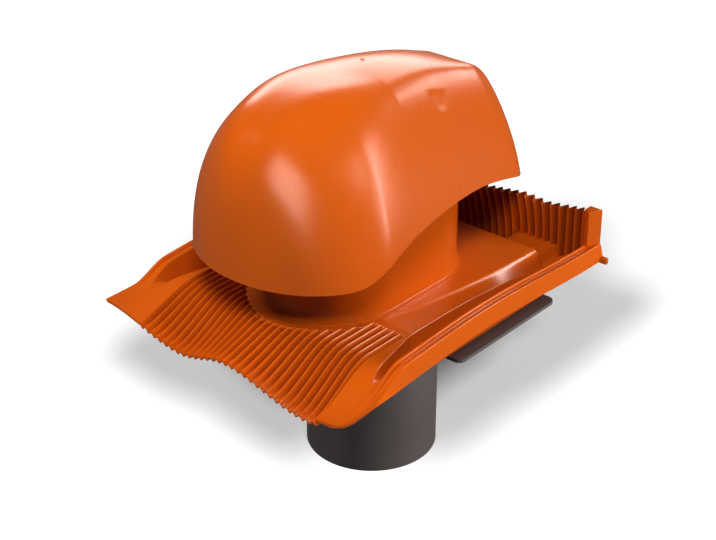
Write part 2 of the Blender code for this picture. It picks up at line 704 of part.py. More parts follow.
def main():
    remove_scene_objects()
    parts = bpy.data.collections.new("roof_vent_pipe")
    tools = bpy.data.collections.new("tools")
    bpy.context.scene.collection.children.link(parts)
    bpy.context.scene.collection.children.link(tools)

    pipe_axis = bpy.data.objects.new("pipe_axis", None)
    pipe_axis.location = (0.0, -(PLATE_FRONT - APRON_LIP + PLATE_BACK) / 2, -PIPE_FOOT)
    parts.objects.link(pipe_axis)

    terracotta = plastic("terracotta plastic", (0.62, 0.11, 0.010), 0.38)
    black = plastic("black plastic", (0.030, 0.026, 0.027), 0.45)
    make_hood(parts, tools, pipe_axis, terracotta)
    make_flashing_plate(parts, tools, pipe_axis, terracotta)
    make_pipe(parts, pipe_axis, black)
    make_frame(parts, tools, pipe_axis, black)


main()
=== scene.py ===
# %% [markdown]
# # A roof vent pipe in terracotta and black plastic
#
# The object is a moulded ventilator for a tiled roof. A rounded hood keeps the rain out, an oval neck
# carries it, and a pleated plate takes the place of one roof tile. A round duct pipe hangs below.
#
# The engineering model gives every place and size. It is loaded first and stays as it is. Each visible
# piece is then built again with finer curves, in the same frame and in metres, and stands for its node.

# %% Load the engineering model
import math

import bmesh
import bpy
from mathutils import Matrix, Vector


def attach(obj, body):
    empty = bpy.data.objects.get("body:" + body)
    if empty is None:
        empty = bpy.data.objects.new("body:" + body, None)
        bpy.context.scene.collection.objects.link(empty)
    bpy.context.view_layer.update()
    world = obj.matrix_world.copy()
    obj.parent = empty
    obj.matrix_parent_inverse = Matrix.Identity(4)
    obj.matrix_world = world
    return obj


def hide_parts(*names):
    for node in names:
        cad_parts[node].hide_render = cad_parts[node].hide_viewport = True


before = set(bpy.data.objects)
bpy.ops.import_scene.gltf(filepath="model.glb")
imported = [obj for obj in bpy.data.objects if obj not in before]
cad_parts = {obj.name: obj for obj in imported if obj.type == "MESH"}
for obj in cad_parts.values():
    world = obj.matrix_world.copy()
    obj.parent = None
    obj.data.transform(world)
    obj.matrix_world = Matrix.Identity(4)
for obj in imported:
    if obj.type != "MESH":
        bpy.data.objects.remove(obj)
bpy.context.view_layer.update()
print("nodes", sorted(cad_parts))

# %% [markdown]
# ## Where things are
#
# The pieces are drawn around the axis of the pipe, with heights counted from the plate's front corners,
# because those were the easiest points to measure. One shift then takes every mesh to its place in the
# frame. Keeping the shift in a single value means that no piece can be moved by mistake.

# %% The pipe's axis at the height of the plate's front corners
AXIS = Vector((0.0, 0.02025, 0.2155))
MM = 0.001
print("axis stands at", tuple(AXIS))

# %% [markdown]
# ## The camera
#
# The picture was taken with a long lens from the front right, looking down at about 29 degrees. A long
# lens keeps the far edge of the plate almost as long as the near one. The camera is placed by its aim, its
# direction and its distance, which is easier to check than three raw coordinates.

# %% Camera
VIEW_AZIMUTH = math.radians(40.663)
VIEW_PITCH = math.radians(28.728)
VIEW_DISTANCE = 1.83193
FOCAL_PIXELS = 1656.87
PICTURE = (716, 540)
AXIS_PIXEL = (371.996, 271.892)

forward = Vector((-math.sin(VIEW_AZIMUTH) * math.cos(VIEW_PITCH),
                  math.cos(VIEW_AZIMUTH) * math.cos(VIEW_PITCH), -math.sin(VIEW_PITCH)))
rightward = Vector((math.cos(VIEW_AZIMUTH), math.sin(VIEW_AZIMUTH), 0.0))
upward = rightward.cross(forward)
across_shift = (AXIS_PIXEL[0] - PICTURE[0] / 2) / FOCAL_PIXELS * VIEW_DISTANCE
down_shift = (PICTURE[1] / 2 - AXIS_PIXEL[1]) / FOCAL_PIXELS * VIEW_DISTANCE

camera = bpy.data.objects.new("camera", bpy.data.cameras.new("camera"))
camera.data.sensor_width = 36.0
camera.data.lens = FOCAL_PIXELS / PICTURE[0] * camera.data.sensor_width
camera.location = AXIS - forward * VIEW_DISTANCE - rightward * across_shift - upward * down_shift
camera.rotation_euler = Matrix((rightward, upward, -forward)).transposed().to_euler()
bpy.context.scene.collection.objects.link(camera)
bpy.context.scene.camera = camera
print("lens %.1f mm, camera at" % camera.data.lens, [round(v, 3) for v in camera.location])

# %% [markdown]
# ## Floor and light
#
# A product picture on white has a white floor and a few large soft lamps, but the plastic itself must stay
# deep in colour. A white room all around would wash it out. So the room is white only where the camera looks
# at it directly, and dim where it lights or mirrors in the part. The lamps then draw the form alone.

# %% Floor
PAPER = {"reach": 30.0, "seen": 0.95, "lighting": 0.12, "glow": 0.02}


def grey(level):
    return (level, level, level, 1.0)


def studio_floor():
    """Paper that is white for the camera, but throws little light back onto the part."""
    bm = bmesh.new()
    bmesh.ops.create_grid(bm, x_segments=2, y_segments=2, size=PAPER["reach"])
    mesh = bpy.data.meshes.new("studio_floor")
    bm.to_mesh(mesh)
    bm.free()
    floor = bpy.data.objects.new("studio_floor", mesh)
    bpy.context.scene.collection.objects.link(floor)
    paper = bpy.data.materials.new("white paper")
    paper.use_nodes = True
    nodes, links = paper.node_tree.nodes, paper.node_tree.links
    shader = nodes["Principled BSDF"]
    shader.inputs["Roughness"].default_value = 1.0
    shader.inputs["Specular IOR Level"].default_value = 0.0
    ray = nodes.new("ShaderNodeLightPath")
    tone = nodes.new("ShaderNodeMix")
    tone.data_type = "RGBA"
    tone.inputs["A"].default_value = grey(PAPER["lighting"])
    tone.inputs["B"].default_value = grey(PAPER["seen"])
    glow = nodes.new("ShaderNodeMath")
    glow.operation = "MULTIPLY"
    glow.inputs[1].default_value = PAPER["glow"]
    links.new(ray.outputs["Is Camera Ray"], tone.inputs["Factor"])
    links.new(ray.outputs["Is Camera Ray"], glow.inputs[0])
    links.new(tone.outputs["Result"], shader.inputs["Base Color"])
    shader.inputs["Emission Color"].default_value = grey(1.0)
    links.new(glow.outputs[0], shader.inputs["Emission Strength"])
    mesh.materials.append(paper)
    return floor


floor = studio_floor()
print("floor is", [round(v) for v in floor.dimensions[:2]], "m")

# %% Surround
ROOM = {"lighting": 0.10, "mirrored": 0.05, "seen": 1.0}
GAMMA = 0.88


def studio_surround():
    """An even room with its own brightness for lighting, for reflections and for the camera."""
    world = bpy.data.worlds.new("studio")
    world.use_nodes = True
    nodes, links = world.node_tree.nodes, world.node_tree.links
    ray = nodes.new("ShaderNodeLightPath")
    inner = nodes.new("ShaderNodeMix")
    inner.inputs["A"].default_value = ROOM["lighting"]
    inner.inputs["B"].default_value = ROOM["mirrored"]
    outer = nodes.new("ShaderNodeMix")
    outer.inputs["B"].default_value = ROOM["seen"]
    links.new(ray.outputs["Is Glossy Ray"], inner.inputs["Factor"])
    links.new(inner.outputs["Result"], outer.inputs["A"])
    links.new(ray.outputs["Is Camera Ray"], outer.inputs["Factor"])
    background = nodes["Background"]
    background.inputs["Color"].default_value = grey(1.0)
    links.new(outer.outputs["Result"], background.inputs["Strength"])
    bpy.context.scene.world = world


studio_surround()
bpy.context.scene.view_settings.view_transform = "Standard"
bpy.context.scene.view_settings.gamma = GAMMA
print("room brightness", ROOM)

# %% Lamps
LAMP_AIM = Vector((0.0, -0.02, 0.36))


def toward_lamp(azimuth, elevation):
    """Direction from the hood to a lamp, in degrees. Azimuth 0 is in front and 90 at the right."""
    azimuth, elevation = math.radians(azimuth), math.radians(elevation)
    return Vector((math.sin(azimuth) * math.cos(elevation), -math.cos(azimuth) * math.cos(elevation),
                   math.sin(elevation)))


def softbox(name, azimuth, elevation, distance, size, power, turn=0.0, lights=True, mirrored=True):
    """A rectangular lamp that can be left out of the direct light or out of the reflections."""
    toward = toward_lamp(azimuth, elevation)
    lamp = bpy.data.lights.new(name, "AREA")
    lamp.shape = "RECTANGLE"
    lamp.size, lamp.size_y = size
    lamp.energy = power
    obj = bpy.data.objects.new(name, lamp)
    obj.location = LAMP_AIM + toward * distance
    facing = toward.to_track_quat("Z", "Y")
    obj.rotation_euler = (facing @ Matrix.Rotation(math.radians(turn), 3, "Z").to_quaternion()).to_euler()
    obj.visible_diffuse = lights
    obj.visible_glossy = mirrored
    bpy.context.scene.collection.objects.link(obj)
    return obj


def paper_sun(name, azimuth, elevation, strength, softness):
    """A far lamp for the floor. Its even light keeps the paper white and draws one soft shadow."""
    lamp = bpy.data.lights.new(name, "SUN")
    lamp.energy = strength
    lamp.angle = math.radians(softness)
    obj = bpy.data.objects.new(name, lamp)
    obj.rotation_euler = toward_lamp(azimuth, elevation).to_track_quat("Z", "Y").to_euler()
    bpy.context.scene.collection.objects.link(obj)
    return obj


room_lamps = [
    softbox("right_light", 118.0, 9.0, 2.0, (0.4, 0.6), 28.0, mirrored=False),
    softbox("front_light", 38.0, 44.0, 2.2, (0.5, 0.5), 34.0, mirrored=False),
    softbox("left_light", -50.0, 44.0, 2.2, (0.6, 0.6), 26.0, mirrored=False),
]
glow_lamps = [
    softbox("key_glow", 33.0, 18.0, 1.9, (0.90, 1.10), 20.0, turn=-30.0, lights=False),
    softbox("side_strip", 129.0, 2.0, 1.9, (0.26, 1.8), 24.0, lights=False),
    softbox("side_glow", 105.0, 24.0, 2.2, (0.40, 0.50), 4.0, lights=False),
    softbox("flank_glow", 170.0, 17.0, 2.2, (0.60, 0.12), 4.5, lights=False),
    softbox("back_panel", -142.0, 23.0, 2.4, (2.6, 0.9), 40.0),
]
paper_lamps = [
    paper_sun("paper_sun_near", 54.0, 40.0, 2.7, 12.0),
    paper_sun("paper_sun_far", 16.0, 38.0, 2.7, 12.0),
]
edge_lamp = softbox("edge_glow", 152.0, 38.0, 2.2, (0.8, 0.4), 22.0, lights=False)
plate_lamp = softbox("plate_fill", 40.0, 55.0, 2.2, (0.5, 0.5), 3.0, mirrored=False)
pipe_lamps = [
    softbox("pipe_light", 115.0, 8.0, 2.0, (0.5, 1.2), 78.0),
    softbox("pipe_fill", -25.0, 12.0, 2.0, (0.6, 1.0), 30.0),
]
print(len(bpy.data.lights), "lamps")

# %% [markdown]
# ## Finish shared by both plastics
#
# Injection moulded plastic is never quite flat. The mould was spark eroded, which leaves a fine grain, and
# the plastic shrinks a little as it cools, which leaves slow waves that bend a highlight. Both plastics
# show this, so it is one node group with its own amounts in each material. It puts out a height for a Bump
# node and a mask for small changes of colour and gloss.

# %% Node group for the moulded surface
def moulded_surface_group():
    group = bpy.data.node_groups.new("moulded surface", "ShaderNodeTree")
    for name, value in (("Grain Scale", 900.0), ("Grain Depth", 0.15),
                        ("Wave Scale", 14.0), ("Wave Depth", 0.5)):
        socket = group.interface.new_socket(name=name, in_out="INPUT", socket_type="NodeSocketFloat")
        socket.default_value = value
    for name in ("Height", "Tint"):
        group.interface.new_socket(name=name, in_out="OUTPUT", socket_type="NodeSocketFloat")
    nodes, links = group.nodes, group.links
    start, end = nodes.new("NodeGroupInput"), nodes.new("NodeGroupOutput")
    place = nodes.new("ShaderNodeTexCoord")

    heights = []
    for scale, depth, detail in (("Grain Scale", "Grain Depth", 2.0), ("Wave Scale", "Wave Depth", 1.0)):
        noise = nodes.new("ShaderNodeTexNoise")
        noise.inputs["Detail"].default_value = detail
        links.new(place.outputs["Object"], noise.inputs["Vector"])
        links.new(start.outputs[scale], noise.inputs["Scale"])
        scaled = nodes.new("ShaderNodeMath")
        scaled.operation = "MULTIPLY"
        links.new(noise.outputs["Fac"], scaled.inputs[0])
        links.new(start.outputs[depth], scaled.inputs[1])
        heights.append(scaled)
    total = nodes.new("ShaderNodeMath")
    total.operation = "ADD"
    links.new(heights[0].outputs[0], total.inputs[0])
    links.new(heights[1].outputs[0], total.inputs[1])
    links.new(total.outputs[0], end.inputs["Height"])

    cloud = nodes.new("ShaderNodeTexNoise")
    cloud.inputs["Scale"].default_value = 9.0
    cloud.inputs["Detail"].default_value = 2.0
    spread = nodes.new("ShaderNodeMapRange")
    spread.interpolation_type = "SMOOTHERSTEP"
    spread.inputs["From Min"].default_value = 0.25
    spread.inputs["From Max"].default_value = 0.75
    links.new(place.outputs["Object"], cloud.inputs["Vector"])
    links.new(cloud.outputs["Fac"], spread.inputs["Value"])
    links.new(spread.outputs["Result"], end.inputs["Tint"])
    return group


moulded_surface = moulded_surface_group()
print("group sockets", [item.name for item in moulded_surface.interface.items_tree])

# %% [markdown]
# ## Terracotta and black plastic
#
# Both are coloured through, so their colour is even, and their look comes from the gloss. The terracotta
# is a satin polypropylene with a strong red orange. A slow change between two near colours keeps it from
# looking painted on a computer, and the roughness moves with it. The black plastic is darker and rougher.
#
# Deep in a fold the light goes from wall to wall and turns dark red. This shade is painted in: the pleated
# pieces carry a fold shade value at each point, and the material mixes in a deeper, painted colour by it.

# %% Material maker
def moulded_plastic(name, colour, worn_colour, roughness, spread, grain, wave, fold_shade_colour):
    mat = bpy.data.materials.new(name)
    mat.use_nodes = True
    nodes, links = mat.node_tree.nodes, mat.node_tree.links
    shader = nodes["Principled BSDF"]
    surface = nodes.new("ShaderNodeGroup")
    surface.node_tree = moulded_surface
    surface.inputs["Grain Depth"].default_value = grain
    surface.inputs["Wave Depth"].default_value = wave

    tint = nodes.new("ShaderNodeMix")
    tint.data_type = "RGBA"
    tint.inputs["A"].default_value = (*colour, 1.0)
    tint.inputs["B"].default_value = (*worn_colour, 1.0)
    links.new(surface.outputs["Tint"], tint.inputs["Factor"])
    # Painted shade: a dark red mixed in by how deep each point lies in a fold.
    painted_fold_shade = nodes.new("ShaderNodeAttribute")
    painted_fold_shade.attribute_name = "painted_fold_shade"
    deep = nodes.new("ShaderNodeMix")
    deep.data_type = "RGBA"
    deep.inputs["B"].default_value = (*fold_shade_colour, 1.0)
    links.new(painted_fold_shade.outputs["Fac"], deep.inputs["Factor"])
    links.new(tint.outputs["Result"], deep.inputs["A"])
    links.new(deep.outputs["Result"], shader.inputs["Base Color"])

    gloss = nodes.new("ShaderNodeMapRange")
    gloss.inputs["To Min"].default_value = roughness - spread
    gloss.inputs["To Max"].default_value = roughness + spread
    links.new(surface.outputs["Tint"], gloss.inputs["Value"])
    links.new(gloss.outputs["Result"], shader.inputs["Roughness"])

    bump = nodes.new("ShaderNodeBump")
    bump.inputs["Strength"].default_value = 0.25
    bump.inputs["Distance"].default_value = 0.0004
    links.new(surface.outputs["Height"], bump.inputs["Height"])
    links.new(bump.outputs["Normal"], shader.inputs["Normal"])
    shader.inputs["IOR"].default_value = 1.49
    return mat


# The fold colour is the dark red of the painted shade deep in the pleats.
terracotta = moulded_plastic("terracotta plastic", (0.66, 0.128, 0.006), (0.64, 0.122, 0.006),
                             roughness=0.28, spread=0.02, grain=0.15, wave=0.2,
                             fold_shade_colour=(0.16, 0.008, 0.001))
black = moulded_plastic("black plastic", (0.052, 0.043, 0.042), (0.060, 0.050, 0.049),
                        roughness=0.42, spread=0.04, grain=0.25, wave=0.6,
                        fold_shade_colour=(0.052, 0.043, 0.042))
print("materials", terracotta.name, "and", black.name)

# %% [markdown]
# ## Helpers for shapes
#
# Every piece is drawn as rows of points. A grid of rows is the simplest way to a smooth curved sheet, since
# each row is one section of the real piece. A second grid, a wall's thickness further in, closes it to a
# solid.

# %% Curves
def smooth_step(t):
    t = min(1.0, max(0.0, t))
    return t * t * (3.0 - 2.0 * t)


def mix(a, b, t):
    return a + (b - a) * t


def steps(start, end, count):
    return [mix(start, end, i / count) for i in range(count + 1)]


def superellipse(share, power):
    """Height of a rounded outline of half width 1 and height 1 at the given share of its half width."""
    return max(0.0, 1.0 - min(1.0, share) ** power) ** (1.0 / power)


def level_through(points, x):
    """Smooth curve through points sorted by x, level at each of them."""
    if x <= points[0][0]:
        return points[0][1]
    for (x0, z0), (x1, z1) in zip(points, points[1:]):
        if x <= x1:
            return mix(z0, z1, smooth_step((x - x0) / (x1 - x0)))
    return points[-1][1]


def straight_through(points, x):
    """Straight lines through points sorted by x."""
    if x <= points[0][0]:
        return points[0][1]
    for (x0, z0), (x1, z1) in zip(points, points[1:]):
        if x <= x1:
            return mix(z0, z1, (x - x0) / (x1 - x0))
    return points[-1][1]


def curve_through(points, x):
    """Smooth curve through points sorted by x, with the slope of its neighbours at each of them."""
    if x <= points[0][0]:
        return points[0][1]
    for i in range(len(points) - 1):
        (x0, z0), (x1, z1) = points[i], points[i + 1]
        if x <= x1:
            slope_in = 0.0 if i == 0 else (z1 - points[i - 1][1]) / (x1 - points[i - 1][0])
            far = points[min(i + 2, len(points) - 1)]
            slope_out = (far[1] - z0) / (far[0] - x0)
            width, t = x1 - x0, (x - x0) / (x1 - x0)
            bend = t * (1.0 - t) * width * ((1.0 - t) * slope_in - t * slope_out)
            return mix(z0, z1, smooth_step(t)) + bend
    return points[-1][1]


print("a superellipse of power 4 at half its width is %.3f high" % superellipse(0.5, 4.0))

# %% Grids and pieces
def grid_faces(bm, rows, closed=False):
    """Faces between neighbouring rows of vertices. Closed rows join their ends."""
    for near, far in zip(rows, rows[1:]):
        count = len(near) if closed else len(near) - 1
        for i in range(count):
            j = (i + 1) % len(near)
            bm.faces.new((near[i], near[j], far[j], far[i]))


def make_piece(name, bm, material, node, sharp):
    """Turns a mesh drawn around the axis into a piece of the object that stands for its node."""
    bmesh.ops.translate(bm, vec=AXIS, verts=bm.verts)
    bm.normal_update()
    bmesh.ops.recalc_face_normals(bm, faces=bm.faces)
    mesh = bpy.data.meshes.new(name)
    bm.to_mesh(mesh)
    bm.free()
    mesh.shade_smooth()
    mesh.set_sharp_from_angle(angle=math.radians(sharp))
    mesh.materials.append(material)
    piece = bpy.data.objects.new(name, mesh)
    bpy.context.scene.collection.objects.link(piece)
    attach(piece, "root")
    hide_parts(node)
    return piece


def soften(piece, width, angle=40.0, segments=2):
    mod = piece.modifiers.new("soft edges", "BEVEL")
    mod.width = width
    mod.segments = segments
    mod.limit_method = "ANGLE"
    mod.angle_limit = math.radians(angle)
    mod.harden_normals = False


print("helpers ready")

# %% [markdown]
# ## The hood's form
#
# The hood is one thin shell. Seen from above it is round in front and tapers to the back. Seen from the
# front it has a crowned top, a crisp shoulder along the back part, and sides that swell a little. It could be
# sculpted, but a formula for the section at each place along the roof is easier to fit to measured edges.
# The same formula with a small inset gives the inner face.

# %% Section of the hood
HOOD = {"base": 0.081, "crown": 0.25625, "crown_at": -0.0433, "fall": 1.395, "front": -0.21635, "back": 0.167,
        "widest_at": -0.110, "half_width": 0.1206, "back_half_width": 0.0907, "back_round": 0.0284,
        "front_power": 2.0676, "top_power": 3.881, "belly": 0.40}
SHOULDER = {"at": -0.0355, "half_width": 0.0585, "back_half_width": 0.0326, "height": 0.2437,
            "back_height": 0.2095, "power": 10.8, "front_share": 0.5386, "front_power": 3.606, "fade": 0.118,
            "power_fade": 0.35}


def hood_outline(y, inset, angle):
    """Half section of the hood at y: (x, z) at the angle, 0 at the crown and a right angle at the base."""
    base = HOOD["base"]
    front, back = HOOD["front"] + inset, HOOD["back"] - inset
    widest = HOOD["half_width"] - inset
    taper = (HOOD["half_width"] - HOOD["back_half_width"]) / (HOOD["back"] - HOOD["widest_at"])
    side = widest - taper * max(0.0, y - HOOD["widest_at"])
    plan = 1.0
    if y < HOOD["widest_at"]:
        plan = superellipse((HOOD["widest_at"] - y) / (HOOD["widest_at"] - front), HOOD["front_power"])
    crown = HOOD["crown"] - inset
    if y > HOOD["crown_at"]:
        crown -= HOOD["fall"] * (y - HOOD["crown_at"]) ** 2
    else:
        reach = (HOOD["crown_at"] - y) / (HOOD["crown_at"] - front)
        crown = base + (crown - base) * superellipse(reach, HOOD["top_power"])

    along = (y - SHOULDER["at"]) / (HOOD["back"] - SHOULDER["at"])
    shoulder_x = mix(SHOULDER["half_width"], SHOULDER["back_half_width"], along) - inset
    shoulder_z = mix(SHOULDER["height"], SHOULDER["back_height"], along) - inset
    fade = smooth_step((SHOULDER["at"] - y) / SHOULDER["fade"])
    share = mix(shoulder_x / side, SHOULDER["front_share"], fade)
    shoulder_z = mix(min(shoulder_z, crown), crown, fade)
    power = mix(SHOULDER["power"], SHOULDER["front_power"], fade ** SHOULDER["power_fade"])

    into_round = max(0.0, (y - (back - HOOD["back_round"])) / HOOD["back_round"])
    trim = HOOD["back_round"] * (1.0 - math.sqrt(max(0.0, 1.0 - into_round ** 2)))

    c, s = max(0.0, math.cos(angle)), math.sin(angle)
    radius = (c ** power + s ** power) ** (-1.0 / power)
    u, v = radius * s, radius * c
    x = u * side * plan * (1.0 + (share - 1.0) * v + HOOD["belly"] * v * (1.0 - v))
    z = base + v * (crown + (shoulder_z - crown) * u * u - base)
    return x * (1.0 - trim / side), base + (z - base) * (1.0 - trim / max(MM, crown - base))


print("half width in the middle %.1f mm" % (hood_outline(-0.110, 0.0, math.pi / 2)[0] / MM))

# %% [markdown]
# ## The hood's lower rim
#
# In front the rim is level, so that it throws the water clear of the neck. Along the sides it rises in a soft
# arch, where the air leaves, and it comes down again at the back. Each section is simply drawn from the
# crown down to the rim, which gives a clean edge without cutting the mesh.

# %% Rim and rows of the hood
RIM_LINE = ((-0.164, 0.081), (-0.141, 0.084), (-0.116, 0.094), (-0.090, 0.1025), (-0.058, 0.109),
            (0.001, 0.113), (0.062, 0.1105), (0.104, 0.103), (0.140, 0.094), (0.172, 0.086))
HOOD_WALL = 0.003
RIM_SINK = 0.0006
OUTER_COLUMNS, INNER_COLUMNS = 110, 40
FRONT_ROWS, MIDDLE_ROWS, BACK_ROWS = 56, 168, 14
POCKET = {"y": 0.0375, "z": 0.2185, "fall": -0.322, "radius": 0.017, "depth": 0.0013, "edge": 0.0022}


def rim_height(y):
    return curve_through(RIM_LINE, y)


def pocket_depth(y, z):
    """The half round finger pocket under the shoulder, flat at its upper side."""
    turn = math.atan(POCKET["fall"])
    y, z = y - POCKET["y"], z - POCKET["z"]
    along = y * math.cos(turn) + z * math.sin(turn)
    down = y * math.sin(turn) - z * math.cos(turn)
    edge = POCKET["edge"]
    round_side = smooth_step((POCKET["radius"] - math.hypot(along, down)) / edge)
    return POCKET["depth"] * smooth_step(down / edge) * round_side


def rim_angle(y, inset):
    """The angle at which the section at y reaches the rim."""
    target = rim_height(y)
    low, high = 0.0, math.pi / 2
    if target <= HOOD["base"] + 1e-6:
        return high
    for _ in range(40):
        middle = (low + high) / 2
        if hood_outline(y, inset, middle)[1] > target:
            low = middle
        else:
            high = middle
    return low


def hood_stations(inset):
    front, back = HOOD["front"] + inset, HOOD["back"] - inset
    turn = [math.radians(90) * (1.0 - i / FRONT_ROWS) for i in range(1, FRONT_ROWS + 1)]
    rows = [HOOD["widest_at"] + (front - HOOD["widest_at"]) * math.sin(a) for a in turn]
    rows += steps(HOOD["widest_at"], back - HOOD["back_round"], MIDDLE_ROWS)[1:]
    turn = [math.radians(90) * i / BACK_ROWS for i in range(1, BACK_ROWS + 1)]
    return rows + [back - HOOD["back_round"] * (1.0 - math.sin(a)) for a in turn]


def hood_rows(inset, columns):
    rows = []
    for y in hood_stations(inset):
        end = rim_angle(y, inset)
        half = [hood_outline(y, inset, end * i / columns) for i in range(columns + 1)]
        if inset == 0.0:
            half = [(x - pocket_depth(y, z), z) for x, z in half]
        left = [Vector((-x, y, z)) for x, z in reversed(half[1:])]
        rows.append(left + [Vector((x, y, z)) for x, z in half])
    return rows


print("hood drawn as", len(hood_stations(0.0)), "rows of", 2 * OUTER_COLUMNS + 1, "points")

# %% Build the hood
def hood_skin(bm, inset, columns):
    """One face of the shell. Returns the vertices of its lower edge, from the tip round the right side."""
    rows = [[bm.verts.new(p) for p in row] for row in hood_rows(inset, columns)]
    tip = bm.verts.new((0.0, HOOD["front"] + inset, HOOD["base"]))
    for i in range(len(rows[0]) - 1):
        bm.faces.new((tip, rows[0][i], rows[0][i + 1]))
    grid_faces(bm, rows)
    last = rows[-1]
    count = len(last)
    for i in range(columns):
        low_left, low_right = last[i], last[count - 1 - i]
        high_left, high_right = last[i + 1], last[count - 2 - i]
        if i == columns - 1:
            bm.faces.new((low_left, low_right, high_left))
        else:
            bm.faces.new((low_left, low_right, high_right, high_left))
    return [tip] + [row[-1] for row in rows] + [row[0] for row in reversed(rows)]


def build_hood():
    bm = bmesh.new()
    outer = hood_skin(bm, 0.0, OUTER_COLUMNS)
    inner = hood_skin(bm, HOOD_WALL, INNER_COLUMNS)
    middle = [bm.verts.new((a.co + b.co) / 2 - Vector((0, 0, RIM_SINK))) for a, b in zip(outer, inner)]
    grid_faces(bm, [outer, middle, inner], closed=True)
    return make_piece("hood_shell", bm, terracotta, "hood", sharp=50.0)


hood = build_hood()
print("hood has", len(hood.data.polygons), "faces")

# %% [markdown]
# ## The gate mark and the fins
#
# On top sits the mark where the plastic was injected, a tiny ring around a hole. Inside, four upright webs
# hook into the neck and hold the hood. They cannot be seen in the picture, so their form is a plain guess.
# Each web is one flat outline that follows the shell's own section, thickened to both sides.

# %% Build the gate mark and the fins
GATE = {"y": -0.017, "radius": 0.0032, "hole": 0.0011, "height": 0.0006, "facets": 40}
NECK = {"half_width": 0.080, "front_centre": -0.060, "back_centre": 0.021, "top": 0.150, "wall": 0.0025,
        "foot_reach": 0.005, "front_reach": 0.007, "foot_height": 0.018}
FIN = {"seat": 0.1503, "hook_width": 0.008, "hook_depth": 0.014, "thickness": 0.004, "clear": 0.0031}


def build_gate():
    """The profile runs from the outer foot over the ring and down into the hole."""
    top = hood_outline(GATE["y"], 0.0, 0.0)[1]
    radius, hole, height = GATE["radius"], GATE["hole"], GATE["height"]
    profile = [(radius, -height), (radius * 0.8, 0.0), (radius * 0.62, height * 0.8), (hole + 0.0006, height),
               (hole, height * 0.6), (hole * 0.8, -height)]
    bm = bmesh.new()
    rows = []
    for i in range(GATE["facets"]):
        angle = 2 * math.pi * i / GATE["facets"]
        c, s = math.cos(angle), math.sin(angle)
        rows.append([bm.verts.new((r * c, GATE["y"] + r * s, top + z)) for r, z in profile])
    grid_faces(bm, rows + rows[:1])
    bm.faces.new([row[0] for row in rows])
    bm.faces.new([row[-1] for row in rows])
    return make_piece("gate_mark", bm, terracotta, "hood", sharp=60.0)


def web_outline(reach, curve):
    """Outline of a web: the hook inside the neck, the seat on its edge, and the curve under the shell."""
    hook, seat = reach - FIN["hook_width"], FIN["seat"]
    foot = seat - FIN["hook_depth"]
    kept = [(r, z) for r, z in curve if r > hook and z > seat]
    under_shell = [(kept[-1][0], seat)] + kept[::-1] + [(hook, kept[0][1])]
    return [(hook, foot), (reach, foot), (reach, seat)] + under_shell


def build_fins():
    middle = (NECK["front_centre"] + NECK["back_centre"]) / 2
    reach_x = NECK["half_width"] - FIN["clear"]
    reach_y = reach_x + (NECK["back_centre"] - NECK["front_centre"]) / 2
    inset, half = HOOD_WALL / 2, FIN["thickness"] / 2
    across = [hood_outline(middle, inset, math.radians(a)) for a in range(91)]
    bm = bmesh.new()
    for sign in (1, -1):
        end = (HOOD["back"] - inset if sign > 0 else HOOD["front"] + inset) - middle
        along = [(abs(r), hood_outline(middle + r, inset, 0.0)[1]) for r in steps(0.0, end, 240)]
        for outline, place in ((web_outline(reach_x, across), lambda r, t, z: (sign * r, middle + t, z)),
                               (web_outline(reach_y, along), lambda r, t, z: (t, middle + sign * r, z))):
            sides = [[bm.verts.new(place(r, t, z)) for r, z in outline] for t in (-half, half)]
            grid_faces(bm, sides, closed=True)
            for side in sides:
                bm.faces.new(side)
    return make_piece("hood_fins", bm, terracotta, "hood", sharp=30.0)


gate = build_gate()
fins = build_fins()
print("gate mark and fins have", len(gate.data.polygons), "and", len(fins.data.polygons), "faces")

# %% [markdown]
# ## The plate's section
#
# The flashing plate lies on the roof like a tile. Across the slope it has a raised deck in the middle, a
# channel on each side that leads the water down, and a side wall with a groove. Along the back runs a gutter.
# Towards the eaves all this blends into a double roll, the form of the tiles below. One section that changes
# along the slope gives the whole plate, which is also how the mould maker would have drawn it.

# %% Sizes of the plate
PLATE = {"half_width": 0.178, "front": -0.2325, "back": 0.1925, "sheet": 0.003}
DECK = {"height": 0.010, "side": 0.128, "back": 0.147, "full_at": -0.150, "back_round": 0.0016}
CHANNEL = {"floor": -0.012, "from": -0.195, "full_at": -0.120, "tip": 0.151, "wide_at": -0.091,
           "slope": 0.004}
WALL = {"height": 0.018, "arch": 0.009, "lean": 0.005, "land": 0.003, "full_at": -0.145}
GROOVE = {"depth": 0.004, "slope": 0.002}
RIDGE = {"inset": 0.015, "land": 0.004, "slope": 0.003, "edge": 0.0005}
GUTTER = {"floor": -0.022, "half_width": 0.060, "shelf": 0.0, "end_slope": 0.005}
STEP = {"depth": 0.0025, "width": 0.004, "from": -0.085, "full_at": -0.020}
STEP_LINE = ((-0.085, 0.086), (-0.031, 0.097), (0.021, 0.106), (0.072, 0.112), (0.147, 0.116))
DECK_EDGE_LINE = ((-0.031, 0.0095), (0.013, 0.0075), (0.057, 0.003), (0.116, -0.005), (0.147, -0.010))
TILE_ROLLS = ((-0.178, 0.0), (-0.065, -0.021), (0.0, -0.007), (0.112, -0.028))
TILE_CORNER = ((0.112, -0.028), (0.130, -0.0255), (0.150, -0.019), (0.163, -0.0125), (0.178, 0.0))
print("deck stands %.1f mm above the channels" % ((DECK["height"] - CHANNEL["floor"]) / MM))

# %% Corners of the section
def ramp(start, end, y):
    return smooth_step((y - start) / (end - start))


